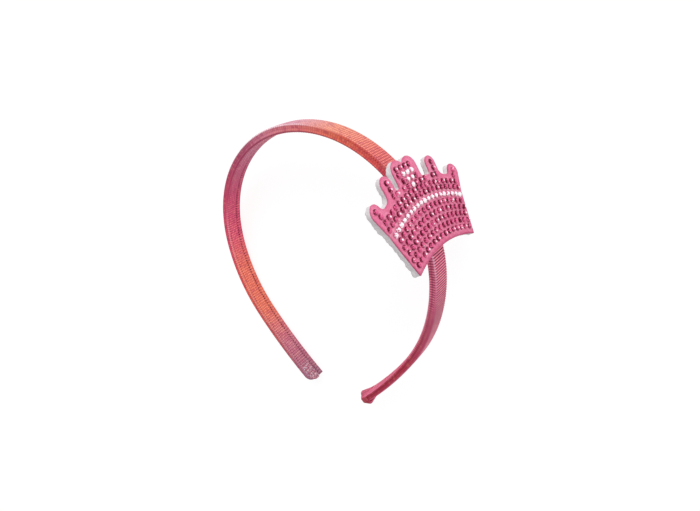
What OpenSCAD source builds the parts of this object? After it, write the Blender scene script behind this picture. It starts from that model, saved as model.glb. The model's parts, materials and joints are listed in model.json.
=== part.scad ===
// Mini crown headband: a stiff arch covered in ribbon, with a flat crown of foam and felt set with
// small faceted stones. It lies on its side, on one arm and on the crown's hind spike.
// The origin is the middle of the arch's inner face, where the band sits on top of the head.

/* [Arch] */
// Radius of the top of the arch, to the middle of the band's thickness
arch_r = 62; // [56:0.5:70]
// Angle that each side of the top runs round, in degrees
arch_turn = 91; // [84:0.5:96]
// Radius of the cheek stretch that follows the top
cheek_r = 82; // [76:0.5:95]
// Angle of the cheek stretch, in degrees
cheek_turn = 33; // [30:0.5:37]
// Radius of the nearly straight stretch at each end
tip_r = 227; // [160:1:300]
// Angle of the end stretch, in degrees
tip_turn = 12; // [8:0.25:13]

/* [Band] */
// Width of the covered band, from front to back
band_w = 10.2; // [9:0.1:14]
// Thickness of the covered band
band_t = 3.2; // [2.6:0.1:4.5]
// Rounding of the band's long edges
band_edge_r = 0.6; // [0.3:0.05:0.9]
// Rounding of the front corner at each end of the band
tip_corner_r = 4.5; // [1:0.1:5]

/* [Lining ribbon] */
// Width of the ribbon that is let into the band's inner face
lining_w = 6.2; // [4:0.1:7]
// Thickness of the lining ribbon
lining_t = 1; // [0.8:0.05:1.3]
// How far the lining stands proud of the inner face
lining_proud = 0.25; // [0.1:0.05:0.4]
// Strip of the band that stays bare in front of the lining
lining_margin = 0.6; // [0.4:0.1:1.5]

/* [Folded ribbon end] */
// Length of the fold on the outside of the right end
fold_l = 7.5; // [5:0.1:10]
// Thickness of the fold on the outside
fold_t = 2; // [1.2:0.1:3]
// Thickness of the ribbon that wraps the end and the inner face
fold_wrap_t = 1; // [0.8:0.1:1.4]
// Length of the fold on the inner face
fold_lip_l = 3; // [2:0.1:4.5]
// How far the fold stands out beyond each edge of the band
fold_side = 0.4; // [0.1:0.1:1]
// Rounding of the fold's corners
fold_corner_r = 0.45; // [0.2:0.05:0.45]

/* [Crown outline] */
// Width of the crown across its shoulders
crown_w = 61; // [59:0.5:64]
// Width of the crown between its base corners
crown_base_w = 46.6; // [44:0.2:49]
// Height of the crown's body in the middle, from the hollow base to the curved top
crown_h = 28.2; // [27:0.1:29.2]
// How far the middle of the base lies below the point where the crown is glued on
crown_low = 16.8; // [15.5:0.1:18]
// Radius of the base, of the top and of the rows of stones below the clear row
crown_curve_r = 65; // [60:0.5:68]
// Radius of the outer spikes' round ends
outer_spike_r = 3.7; // [3:0.1:4.1]
// Radius of the inner spikes' round ends
inner_spike_r = 3.45; // [3:0.05:3.8]
// Radius of the two lobes of the heart in the middle
lobe_r = 4.6; // [4.4:0.1:5.2]
// Half of the distance between the lobes' centres
lobe_half = 4.1; // [3.9:0.1:4.4]
// Height of the lobes' centres above the body's curved top
lobe_rise = 5; // [4.9:0.1:5.4]
// Sideways place of the heart, towards the back
heart_x = -1.7; // [-1.9:0.1:-1.4]
// Radius in the narrow valleys beside the heart
valley_r = 1.1; // [0.5:0.1:1.2]
// Radius in the wide valleys beside the outer spikes
outer_valley_r = 2.9; // [1.5:0.1:3]

/* [Crown layers] */
// Thickness of the white foam
foam_t = 1.7; // [1.4:0.1:6]
// Thickness of the pink felt on the foam
felt_t = 1; // [0.8:0.1:2]
// Thickness of the glue at its thinnest, between the band and the foam
glue_t = 0.3; // [0.2:0.05:1]
// Length of the glue pad along the band
glue_l = 20; // [12:1:26]
// Width of the glue pad across the band
glue_w = 8; // [5:0.5:9]

/* [Crown place] */
// Angle from the top of the arch to the middle of the crown, in degrees
crown_angle = 62.5; // [58:0.5:70]
// How far the crown's middle lies towards the back of the band
crown_shift = -1.3; // [-3:0.1:2]
// Turn of the crown on the band, in degrees
crown_turn = -2.25; // [-4:0.25:4]

/* [Stones] */
// Diameter of a stone
stone_d = 2.4; // [1.8:0.05:2.45]
// Diameter of a stone's flat table
table_d = 1.25; // [0.9:0.05:1.5]
// Height of the straight girdle
girdle_h = 0.25; // [0.15:0.05:0.4]
// Height of the slanting facets above the girdle
facet_h = 0.7; // [0.4:0.05:1]
// Number of stones in the clear row
clear_count = 19; // [13:1:19]

/* [Hidden] */

// Gap that glued pieces keep, so that no two solids share space
seat_gap = 0.05;
// Room that a cut needs past the face that it leaves
past = 1;
// Tiny step that keeps a rounding from lying exactly on a flat face
hair = 0.02;
stone_sides = 8;

// Angle from the top to the end of the cheek stretch and to the very end
cheek_end = arch_turn + cheek_turn;
tip_end = cheek_end + tip_turn;

// Outward direction of the right arm at an angle from the top
function outward(a) = [sin(a), cos(a)];

// Centres of the three arcs of the right arm, each tangent to the one before
arch_c = [0, band_t / 2 - arch_r];
cheek_c = arch_c + (arch_r - cheek_r) * outward(arch_turn);
tip_c = cheek_c + (cheek_r - tip_r) * outward(cheek_end);
tip_mid = tip_c + tip_r * outward(tip_end);

// Heights in the crown's own frame, whose origin is the point where it is glued on
base_mid_y = -crown_low;
top_mid_y = crown_h - crown_low;
lobe_y = top_mid_y + lobe_rise;

// A place given as shares: sideways of half the crown's width, up of its height from its top
function place(share) = [share[0] * crown_w / 2, top_mid_y + share[1] * crown_h];

// Spikes of one side, as bars with round ends
spikes = [
    // root sideways, root up, end sideways, end up, radius
    [0.88, -0.41, 1, -0.181, outer_spike_r],
    [0.535, -0.27, 0.56, 0.09, inner_spike_r],
];
function spike_root(s) = place([s[0], s[1]]);
function spike_end(s) = place([s[2], s[3]]);

// The arm on the left and the crown's hind spike carry the headband where it lies.
// The line between the two runs straight across, along the direction that the crown faces.
crown_out = outward(crown_angle);
hind = spike_end(spikes[0]);
hind_reach = (hind[0] + crown_shift) * cos(crown_turn) - hind[1] * sin(crown_turn) + outer_spike_r;
spike_out = crown_out * arch_c + arch_r + band_t / 2 + glue_t;
arm_out = cheek_r + band_t / 2 - crown_out * [-cheek_c[0], cheek_c[1]];
rest_rise = hind_reach - band_w / 2 + band_edge_r;
rest_run = arm_out + spike_out - band_edge_r;
rest_tilt = acos(band_edge_r / norm([rest_rise, rest_run])) - atan2(rest_run, rest_rise);

// Distances between stones in a row, which spread with the crown's width
pink_pitch = 0.0522 * crown_w;
clear_pitch = 0.0491 * crown_w;
// Distances between rows, which spread with the crown's height
row_pitch = 0.1095 * crown_h;
heart_pitch = 0.094 * crown_h;
// Height of the middle of the clear row
clear_row_y = place([0, -0.336])[1];

// Rows of pink stones above the clear row
above_rows = [
    // middle's height as a share, radius as a share of the base's, number of stones
    [-0.235, 1.12, 19],
    [-0.142, 1.19, 19],
];
// Numbers of pink stones in the rows below the clear row
below_counts = [17, 17, 16, 16, 15];
pink_rows = concat(
    [for (row = above_rows) [place([0, row[0]])[1], row[1] * crown_curve_r, row[2]]],
    [for (i = [0:len(below_counts) - 1])
        [clear_row_y - (i + 1) * row_pitch, crown_curve_r, below_counts[i]]]);

// Straight rows of the heart from the top, where clear stones stand between pink ones
heart_rows = [
    // first stone in pitches from the heart's middle, pink before, clear, pink after
    [-2, 4, 0, 0],
    [-2, 1, 3, 0],
    [-1.6, 1, 2, 1],
    [-2.1, 2, 1, 3],
];
heart_row_top = lobe_y + 0.27 * lobe_r;

// Places of the stones in and under the spikes, the same on both sides
spike_stones = [[1, -0.152], [0.95, -0.233], [0.564, 0.11], [0.553, 0.011], [0.55, -0.088],
                [0.455, -0.078]];

// Points evenly spaced along an arc that bulges upward
function arc_row(top, r, n, pitch) = [for (i = [0:n - 1])
    let (a = (i - (n - 1) / 2) * pitch / r * 180 / PI) [r * sin(a), top - r * (1 - cos(a))]];

// Points of one stretch of a heart row, counted from its first stone
function heart_run(i, first, n) = n == 0 ? [] :
    [for (k = [first:first + n - 1])
        [heart_x + (heart_rows[i][0] + k) * pink_pitch, heart_row_top - i * heart_pitch]];

heart_is = [0:len(heart_rows) - 1];
pink_places = concat(
    [for (row = pink_rows) each arc_row(row[0], row[1], row[2], pink_pitch)],
    [for (i = heart_is) each heart_run(i, 0, heart_rows[i][1])],
    [for (i = heart_is) each heart_run(i, heart_rows[i][1] + heart_rows[i][2], heart_rows[i][3])],
    [for (side = [-1, 1]) for (share = spike_stones) place([side * share[0], share[1]])]);

clear_places = concat(
    arc_row(clear_row_y, crown_curve_r, clear_count, clear_pitch),
    [for (i = heart_is) each heart_run(i, heart_rows[i][1], heart_rows[i][2])]);

// A ring of a stone's corners
function ring(p, r, z, turn) = [for (i = [0:stone_sides - 1])
    let (a = (i + turn) * 360 / stone_sides) [p[0] + r * cos(a), p[1] + r * sin(a), z]];

// A stone's corners: flat back, top of the girdle, and a table that is turned half a step
function stone_points(p) = concat(
    ring(p, stone_d / 2, 0, 0),
    ring(p, stone_d / 2, girdle_h, 0),
    ring(p, table_d / 2, girdle_h + facet_h, 0.5));

// A stone's faces: back, girdle, two rings of facets, table
function stone_faces(k) = let (n = stone_sides) concat(
    [[for (i = [0:n - 1]) k + i]],
    [for (i = [0:n - 1]) [k + i, k + n + i, k + n + (i + 1) % n, k + (i + 1) % n]],
    [for (i = [0:n - 1]) [k + n + i, k + 2 * n + i, k + n + (i + 1) % n]],
    [for (i = [0:n - 1]) [k + 2 * n + i, k + 2 * n + (i + 1) % n, k + n + (i + 1) % n]],
    [[for (i = [n - 1:-1:0]) k + 2 * n + i]]);

// Puts a piece of the upright headband where it lies: tilted about the crown's up direction
module lying() {
    rotate(a = rest_tilt, v = [cos(crown_angle), -sin(crown_angle), 0]) children();
}

// Sweeps a section, whose x is outward and whose y is the band's width, round one arc.
// The move is split in a coarse and a fine step, which keeps the ends of neighbouring arcs flush.
module arc_run(centre, r, from, to) {
    coarse = [round(centre[0] * 1000) / 1000, round(centre[1] * 1000) / 1000, 0];
    fine = [centre[0] - coarse[0], centre[1] - coarse[1], 0];
    translate(coarse) translate(fine)
        rotate_extrude(angle = to - from, start = 90 - to, $fn = 180)
            translate([r, 0]) children();
}

// Sweeps a section along the whole headband
module whole_run() {
    arc_run(arch_c, arch_r, -arch_turn, arch_turn) children();
    for (side = [0, 1]) mirror([side, 0, 0]) {
        arc_run(cheek_c, cheek_r, arch_turn, cheek_end) children();
        arc_run(tip_c, tip_r, cheek_end, tip_end) children();
    }
}

// Frame at the end of an arm: x runs on past the end, y outward, z towards the front
module at_tip() {
    translate([tip_mid[0], tip_mid[1], 0]) rotate([0, 0, -tip_end]) children();
}

// Room for the lining ribbon in the band's section, or the ribbon itself with no room
module lining_section(room) {
    translate([-band_t / 2 - lining_proud, band_w / 2 - lining_margin - lining_w - room])
        square([lining_t + room, lining_w + 2 * room]);
}

module band_section() {
    difference() {
        union() {
            square([band_t - 2 * band_edge_r, band_w], center = true);
            square([band_t, band_w - 2 * band_edge_r], center = true);
            for (x = [-1, 1]) for (y = [-1, 1])
                translate([x * (band_t / 2 - band_edge_r), y * (band_w / 2 - band_edge_r)])
                    circle(r = band_edge_r, $fn = 24);
        }
        lining_section(seat_gap);
    }
}

// What rounds a front corner off at the end of an arm
module corner_cutter() {
    middle = hair - tip_corner_r;
    translate([middle, 0, band_w / 2 + middle]) difference() {
        translate([0, -band_t, 0]) cube([tip_corner_r + past, 2 * band_t, tip_corner_r + past]);
        rotate([90, 0, 0]) cylinder(r = tip_corner_r, h = 3 * band_t, center = true, $fn = 48);
    }
}

module rounded_ends() {
    difference() {
        children();
        for (side = [0, 1]) mirror([side, 0, 0]) at_tip() corner_cutter();
    }
}

module band() {
    color("palevioletred") lying() rounded_ends() whole_run() band_section();
}

module lining_ribbon() {
    color("lightcoral") lying() rounded_ends() whole_run() lining_section(0);
}

// Section of the ribbon fold along the arm: a thick flap outside, a wrap over the end, a thin lip
module fold_section() {
    outer_y = band_t / 2 + seat_gap;
    inner_y = band_t / 2 + lining_proud + seat_gap;
    offset(r = fold_corner_r) offset(delta = -fold_corner_r) {
        translate([-fold_l, outer_y]) square([fold_l + fold_wrap_t, fold_t]);
        translate([seat_gap, -inner_y - fold_wrap_t])
            square([fold_wrap_t, inner_y + outer_y + fold_wrap_t + fold_t]);
        translate([-fold_lip_l, -inner_y - fold_wrap_t])
            square([fold_lip_l + fold_wrap_t, fold_wrap_t]);
    }
}

module ribbon_fold() {
    color("mediumvioletred") lying() at_tip()
        linear_extrude(height = band_w + 2 * fold_side, center = true) fold_section($fn = 24);
}

// Frame on the band under the crown: x towards the back, y up along the band, z outward
module on_band() {
    translate([arch_c[0], arch_c[1], 0]) rotate([0, 0, 90 - crown_angle]) rotate([0, 90, 0])
        translate([0, 0, arch_r + band_t / 2]) children();
}

// The same frame, with the crown's own shift and turn, at a height above the band
module on_crown(z) {
    on_band() rotate([0, 0, crown_turn]) translate([crown_shift, 0, z]) children();
}

// A bar with round ends between two points
module bar(a, b, r) {
    along = b - a;
    translate(a) rotate(atan2(along[1], along[0])) {
        circle(r = r);
        translate([norm(along), 0]) circle(r = r);
        translate([0, -r]) square([norm(along), 2 * r]);
    }
}

module spike_bars() {
    for (side = [0, 1]) mirror([side, 0]) for (s = spikes)
        bar(spike_root(s), spike_end(s), s[4]);
}

// The crown's body: flared sides between the hollow base and the curved top
module crown_body() {
    drop = crown_curve_r - sqrt(pow(crown_curve_r, 2) - pow(crown_base_w / 2, 2));
    low = base_mid_y - drop;
    difference() {
        intersection() {
            polygon([[-crown_base_w / 2, low], [crown_base_w / 2, low],
                     [crown_w / 2, 0], [crown_w / 2, top_mid_y],
                     [-crown_w / 2, top_mid_y], [-crown_w / 2, 0]]);
            translate([0, top_mid_y - crown_curve_r]) circle(r = crown_curve_r, $fn = 100);
        }
        translate([0, base_mid_y - crown_curve_r]) circle(r = crown_curve_r, $fn = 100);
    }
}

module heart_top() {
    for (side = [-1, 1]) translate([heart_x + side * lobe_half, lobe_y]) circle(r = lobe_r);
    half = lobe_half + lobe_r;
    translate([heart_x - half, 0]) square([2 * half, lobe_y]);
}

module crown_outline() {
    $fn = 32;
    offset(r = -valley_r) offset(delta = valley_r) {
        crown_body();
        heart_top();
        spike_bars();
        // Beyond the inner spikes a hair thinner copy, which lies inside elsewhere, fills the valleys
        for (side = [0, 1]) mirror([side, 0]) intersection() {
            offset(r = -outer_valley_r - hair) offset(delta = outer_valley_r) {
                crown_body();
                spike_bars();
            }
            translate([spike_end(spikes[1])[0], 0]) square(crown_w / 2);
        }
    }
}

module glue_pad() {
    color("ghostwhite") lying() on_band() difference() {
        translate([-glue_w / 2, -glue_l / 2, -band_t / 2])
            cube([glue_w, glue_l, band_t / 2 + glue_t - seat_gap]);
        translate([0, 0, -arch_r - band_t / 2]) rotate([0, 90, 0])
            cylinder(r = arch_r + band_t / 2 + seat_gap, h = glue_w + 2 * past, center = true, $fn = 360);
    }
}

module crown_foam() {
    color("white") lying() on_crown(glue_t) linear_extrude(height = foam_t) crown_outline();
}

module crown_felt() {
    color("hotpink") lying() on_crown(glue_t + foam_t + seat_gap)
        linear_extrude(height = felt_t) crown_outline();
}

// A field of stones as one body of many small closed shells
module stone_field(places) {
    polyhedron(
        points = [for (p = places) each stone_points(p)],
        faces = [for (i = [0:len(places) - 1]) each stone_faces(3 * stone_sides * i)]);
}

module on_felt() {
    on_crown(glue_t + foam_t + felt_t + 2 * seat_gap) children();
}

module pink_stones() {
    color("deeppink") lying() on_felt() stone_field(pink_places);
}

module clear_stones() {
    color("white") lying() on_felt() stone_field(clear_places);
}

band();
lining_ribbon();
ribbon_fold();
glue_pad();
crown_foam();
crown_felt();
pink_stones();
clear_stones();
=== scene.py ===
"""Mini crown headband: an arch covered in ombre ribbon, with a felt crown set with small stones.

All lengths are worked out in millimetres in the upright headband's own frame: x to the right, y up the arch,
z to the front, origin in the middle of the arch's inner face. lay() turns that frame down to where it rests.
"""

import json
import math

import bpy
import numpy as np
from mathutils import Matrix, Vector
from mathutils.geometry import delaunay_2d_cdt


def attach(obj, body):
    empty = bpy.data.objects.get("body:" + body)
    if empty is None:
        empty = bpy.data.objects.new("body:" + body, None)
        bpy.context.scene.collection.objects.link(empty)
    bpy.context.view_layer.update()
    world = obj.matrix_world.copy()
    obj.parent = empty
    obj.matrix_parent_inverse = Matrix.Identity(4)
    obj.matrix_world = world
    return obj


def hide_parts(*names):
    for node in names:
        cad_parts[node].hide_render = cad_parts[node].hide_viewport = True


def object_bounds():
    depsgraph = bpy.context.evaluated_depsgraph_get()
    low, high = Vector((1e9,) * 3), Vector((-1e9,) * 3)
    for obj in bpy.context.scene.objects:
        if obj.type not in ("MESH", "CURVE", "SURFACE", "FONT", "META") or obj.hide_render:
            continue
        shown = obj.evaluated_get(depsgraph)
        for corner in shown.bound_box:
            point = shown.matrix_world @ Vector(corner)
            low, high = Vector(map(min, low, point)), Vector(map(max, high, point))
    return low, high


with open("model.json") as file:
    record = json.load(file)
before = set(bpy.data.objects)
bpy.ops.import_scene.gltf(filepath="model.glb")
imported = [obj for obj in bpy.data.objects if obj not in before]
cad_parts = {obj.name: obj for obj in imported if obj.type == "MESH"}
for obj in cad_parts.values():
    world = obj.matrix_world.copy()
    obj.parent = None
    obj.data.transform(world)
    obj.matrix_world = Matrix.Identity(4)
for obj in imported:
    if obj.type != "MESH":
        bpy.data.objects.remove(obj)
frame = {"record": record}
CAD_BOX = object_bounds()

# Sizes in mm, those of the frame. Each arm is a chain of three arcs from the top to the tip
ARC_RADII = np.array([62.0, 82.0, 227.0])
ARC_TURNS = np.radians([91.0, 33.0, 12.0])
BAND_W, BAND_T, EDGE_R = 10.2, 3.2, 0.6
# Back edge and front edge of the lining, and how far it stands proud of the inner face
LINING_BACK, LINING_FRONT, LINING_PROUD = -1.7, 4.5, 0.25
# Where the crown stands on the right arm
CROWN_ANGLE, CROWN_SHIFT, CROWN_TURN = math.radians(62.5), -1.3, math.radians(-2.25)
# Its width at the shoulders and the base, the height of its body, the body's top over the glued point, and
# the radius of base, top and rows
CROWN_W, CROWN_BASE_W, CROWN_H, CROWN_TOP, CURVE_R = 61.0, 46.6, 28.2, 11.4, 65.0
# The heart's middle, and the height, the radius and half the distance of its lobes
HEART_X, LOBE_Y, LOBE_R, LOBE_HALF = -1.7, 16.4, 4.6, 4.1
# Radii of the spikes' ends, the wide valleys between them, the narrow ones and the corners of the base
OUTER_SPIKE_R, INNER_SPIKE_R, WIDE_R, NARROW_R, CORNER_R = 3.7, 3.45, 2.9, 1.1, 0.4
# Heights over the band. The foam is drawn a little thicker than its solid, and the felt as much thinner
FOAM_BACK, FOAM_FRONT, FELT_BACK, FELT_FRONT, STONE_BASE = 0.3, 2.4, 2.46, 3.02, 3.1
# Pitches along the arm: the cover's weave, the lining's, the margin's beside the lining, the seam's stitches
RIB, LINING_RIB, MARGIN_RIB, STITCH = 1.18, 1.4, 1.75, 1.5
# Spacing of the crown's outline
RIM_STEP = 0.36
# Millimetres that make 1 in a UV map
UV_MM = 100.0

ARC_STARTS = np.concatenate([[0.0], np.cumsum(ARC_RADII * ARC_TURNS)])
ARC_ANGLES = np.concatenate([[0.0], np.cumsum(ARC_TURNS)])
HALF_RUN = ARC_STARTS[3]


def outward(angle):
    """Outward direction at an angle from the top of the arch: sine sideways, cosine up."""
    return np.stack([np.sin(angle), np.cos(angle)], -1)


# Centres of the three arcs of the right arm, each on the line of the joint before it
ARC_CENTRES = np.cumsum(
    [[0.0, BAND_T / 2 - ARC_RADII[0]]]
    + [(ARC_RADII[i] - ARC_RADII[i + 1]) * outward(ARC_ANGLES[i + 1]) for i in (0, 1)], axis=0)

# The frame's own record says how far the head's direction leans where the headband lies
HEAD_AXIS = frame["record"]["mounts"][0]["axis"]
REST_TILT = math.asin(-HEAD_AXIS[2] / math.cos(CROWN_ANGLE))
LYING = np.array(Matrix.Rotation(REST_TILT, 3, Vector((math.cos(CROWN_ANGLE), -math.sin(CROWN_ANGLE), 0))))


def lay(points):
    """Upright millimetres to lying metres: one turn about the crown's up direction, then a thousandth."""
    return np.asarray(points) @ LYING.T * 0.001


def band_point(s, n, w):
    """Point at arc length s along the arm (minus on the left), n outward and w to the front.
    Each arm is three arcs: centre + (radius + n) times the outward direction at the angle turned so far."""
    s, n, w = np.broadcast_arrays(s, n, w)
    d = np.abs(s)
    k = np.clip(np.searchsorted(ARC_STARTS, d, side="right") - 1, 0, 2)
    out = outward(ARC_ANGLES[k] + (d - ARC_STARTS[k]) / ARC_RADII[k])
    xy = ARC_CENTRES[k] + (ARC_RADII[k] + n)[..., None] * out
    return np.stack([np.where(s < 0, -1, 1) * xy[..., 0], xy[..., 1], w], -1)


def crown_point(x, y, z):
    """Point of the crown: x towards the back, y up, z out from the band, after its shift and small turn."""
    c, s = math.cos(CROWN_TURN), math.sin(CROWN_TURN)
    out, up = outward(CROWN_ANGLE), outward(CROWN_ANGLE)[::-1] * [-1, 1]
    x, y = (x + CROWN_SHIFT) * c - y * s, (x + CROWN_SHIFT) * s + y * c
    xy = ARC_CENTRES[0] + (ARC_RADII[0] + BAND_T / 2 + z)[..., None] * out + y[..., None] * up
    return np.stack([xy[..., 0], xy[..., 1], -x], -1)


# Meshes from grids
def piece(name, points, faces, corners_uv, stuff, smooth=True):
    """One object from whole arrays: points in metres, faces of three or four corners, one UV a corner.
    The faces are turned round if the volume that they enclose comes out negative."""
    a, b, c = (points[faces[:, k]] for k in (0, 1, 2))
    d = points[faces[:, -1]]
    volume = np.einsum("ij,ij->", a, np.cross(b, c)) + np.einsum("ij,ij->", a, np.cross(c, d))
    if volume < 0:
        faces, corners_uv = faces[:, ::-1], corners_uv[:, ::-1]
    # A triangle is a row whose last corner repeats the one before
    own = faces != np.roll(faces, 1, 1)
    counts = own.sum(1)
    mesh = bpy.data.meshes.new(name)
    mesh.vertices.add(len(points))
    mesh.vertices.foreach_set("co", points.astype(np.float32).ravel())
    mesh.loops.add(int(counts.sum()))
    mesh.loops.foreach_set("vertex_index", faces[own].astype(np.int32))
    mesh.polygons.add(len(faces))
    mesh.polygons.foreach_set("loop_start", (np.cumsum(counts) - counts).astype(np.int32))
    mesh.uv_layers.new(name="run").data.foreach_set("uv", corners_uv[own].astype(np.float32).ravel())
    mesh.polygons.foreach_set("use_smooth", np.full(len(faces), smooth))
    mesh.update(calc_edges=True)
    mesh.validate()
    mesh.materials.append(stuff)
    made = bpy.data.objects.new(name, mesh)
    bpy.context.scene.collection.objects.link(made)
    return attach(made, "root")


def keep(made, name, where, values):
    """Values kept on a piece under a name, one for each point or each face."""
    kept = made.data.attributes.new(name, "FLOAT", where)
    kept.data.foreach_set("value", values.ravel().astype(np.float32))


def ring_quads(rows, cols):
    """Quads that join neighbouring rings of so many points all the way round, as four indexes each."""
    i, j = (a.ravel() for a in np.mgrid[0:rows - 1, 0:cols])
    k = (j + 1) % cols
    return np.stack([i * cols + j, i * cols + k, (i + 1) * cols + k, (i + 1) * cols + j], -1)


def tube(name, rings, u, v, stuff):
    """Closed skin over rings of points: ring i and ring i + 1 are joined by quads all the way round, and each
    end by a fan to its ring's middle. The map in mm is u for each ring and v round it, with one v more than
    the ring has points."""
    rows, cols = rings.shape[:2]
    faces = ring_quads(rows, cols)
    i, j = np.divmod(faces[:, :1], cols)
    uv = np.stack([u[i + [0, 0, 1, 1]], v[j + [0, 1, 1, 0]]], -1)
    points = [rings.reshape(-1, 3), rings[[0, -1]].mean(1)]
    j = np.arange(cols)
    k = (j + 1) % cols
    for pole, (row, turn) in enumerate([(0, 1), (rows - 1, -1)]):
        fan = np.stack([row * cols + k, row * cols + j, np.full(cols, rows * cols + pole)], -1)[:, ::turn]
        fan_uv = np.stack([np.stack([np.full(cols, u[row]), v[m]], -1) for m in (j + 1, j, j)], 1)[:, ::turn]
        faces = np.concatenate([faces, fan[:, [0, 1, 2, 2]]])
        uv = np.concatenate([uv, fan_uv[:, [0, 1, 2, 2]]])
    return piece(name, lay(np.concatenate(points)), faces, uv / UV_MM, stuff)


def waves(t, lengths, seed):
    """Unevenness between about -1 and 1: the mean of sines of the given lengths with phases from the seed."""
    phase = np.random.default_rng(seed).uniform(0, 2 * np.pi, len(lengths))
    return np.mean(np.sin(2 * np.pi * t[..., None] / np.asarray(lengths) + phase), -1) * 1.6


def bump_at(t, middle, width):
    """A soft bump of height 1: the bell curve of the distance from the middle."""
    return np.exp(-(((t - middle) / width) ** 2))


# Nodes
class Bench:
    """Short calls that lay nodes in one tree and join them. A socket is linked, anything else is a value."""

    def __init__(self, tree):
        self.tree = tree

    def feed(self, socket, value):
        self.tree.links.new(value, socket)

    def add(self, kind, inputs=(), **settings):
        """A node with its settings, and its inputs by name or number."""
        made = self.tree.nodes.new(kind)
        for key, value in settings.items():
            setattr(made, key, value)
        for key, value in dict(inputs).items():
            if isinstance(value, bpy.types.NodeSocket):
                self.feed(made.inputs[key], value)
            else:
                made.inputs[key].default_value = value
        return made

    def calc(self, operation, *values):
        """One sum on sockets or numbers. The four commonest have their own names below."""
        return self.add("ShaderNodeMath", enumerate(values), operation=operation).outputs[0]

    def plus(self, a, b):
        return self.calc("ADD", a, b)

    def minus(self, a, b):
        return self.calc("SUBTRACT", a, b)

    def times(self, a, b):
        return self.calc("MULTIPLY", a, b)

    def times_plus(self, a, b, c):
        return self.calc("MULTIPLY_ADD", a, b, c)

    def blend(self, mask, a, b, how="MIX"):
        """Colour a where the mask is 0 and b where it is 1, or another way of mixing them."""
        inputs = {0: mask, 6: a, 7: b}
        return self.add("ShaderNodeMix", inputs, data_type="RGBA", blend_type=how).outputs[2]

    def between(self, value, low, high, to_low=0.0, to_high=1.0):
        """A soft step: to_low where the value is low, to_high where it is high, smooth in between."""
        inputs = {"Value": value, "From Min": low, "From Max": high, "To Min": to_low, "To Max": to_high}
        return self.add("ShaderNodeMapRange", inputs, interpolation_type="SMOOTHSTEP").outputs[0]

    def noise(self, vector, scale, detail, rough):
        inputs = {"Vector": vector, "Scale": scale, "Detail": detail, "Roughness": rough}
        return self.add("ShaderNodeTexNoise", inputs).outputs[0]

    def swing(self, value, pitch):
        """0 to 1 and back once a pitch: half of one plus the cosine."""
        turned = self.times(value, 2 * math.pi / pitch)
        return self.times_plus(self.calc("COSINE", turned), 0.5, 0.5)

    def split(self, vector):
        return self.add("ShaderNodeSeparateXYZ", {0: vector}).outputs

    def run(self):
        """The piece's own UV map, in tenths of a metre along and across."""
        return self.add("ShaderNodeUVMap", uv_map="run").outputs[0]

    def place(self):
        """The piece's own coordinates, in metres."""
        return self.add("ShaderNodeTexCoord").outputs["Object"]

    def kept(self, name):
        """A value that is kept on the mesh as an attribute."""
        return self.add("ShaderNodeAttribute", attribute_type="GEOMETRY", attribute_name=name).outputs["Fac"]

    def patches(self, size, fine_size):
        """Slow and fine patches on the piece's own coordinates, of sizes in metres."""
        inputs = {"Place": self.place(), "Size": size, "Fine Size": fine_size}
        made = self.add("ShaderNodeGroup", inputs, node_tree=PATCHY)
        return made.outputs["Broad"], made.outputs["Fine"]

    def relief(self, height, strength, depth):
        """A normal leaned by a height, which stands for a depth in metres."""
        inputs = {"Height": height, "Strength": strength, "Distance": depth}
        return self.add("ShaderNodeBump", inputs).outputs[0]

    def ramp(self, value, stops):
        """The colour between the two nearest stops, which are pairs of place and colour."""
        made = self.add("ShaderNodeValToRGB", {"Fac": value})
        for k, (place, colour) in enumerate(stops):
            spot = made.color_ramp.elements[k] if k < 2 else made.color_ramp.elements.new(place)
            spot.position, spot.color = place, colour
        return made.outputs[0]


def paint(r, g, b):
    """A colour given on a 0 to 255 scale, as linear light with full alpha: the power 2.4 of each share, after
    it is moved up by 0.055 and scaled back to 1, or a straight line where it is nearly black."""
    c = np.array([r, g, b]) / 255.0
    return (*np.where(c <= 0.04045, c / 12.92, ((c + 0.055) / 1.055) ** 2.4).tolist(), 1.0)


def group(name, sockets_in, sockets_out):
    """An empty node group with named inputs (name, kind, start value) and outputs (name, kind)."""
    tree = bpy.data.node_groups.new(name, "ShaderNodeTree")
    for label, kind, start in sockets_in:
        made = tree.interface.new_socket(label, in_out="INPUT", socket_type=kind)
        if start is not None:
            made.default_value = start
    for label, kind in sockets_out:
        tree.interface.new_socket(label, in_out="OUTPUT", socket_type=kind)
    bench = Bench(tree)
    return bench, bench.add("NodeGroupInput").outputs, bench.add("NodeGroupOutput").inputs


FLOAT, VECTOR = "NodeSocketFloat", "NodeSocketVector"


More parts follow.
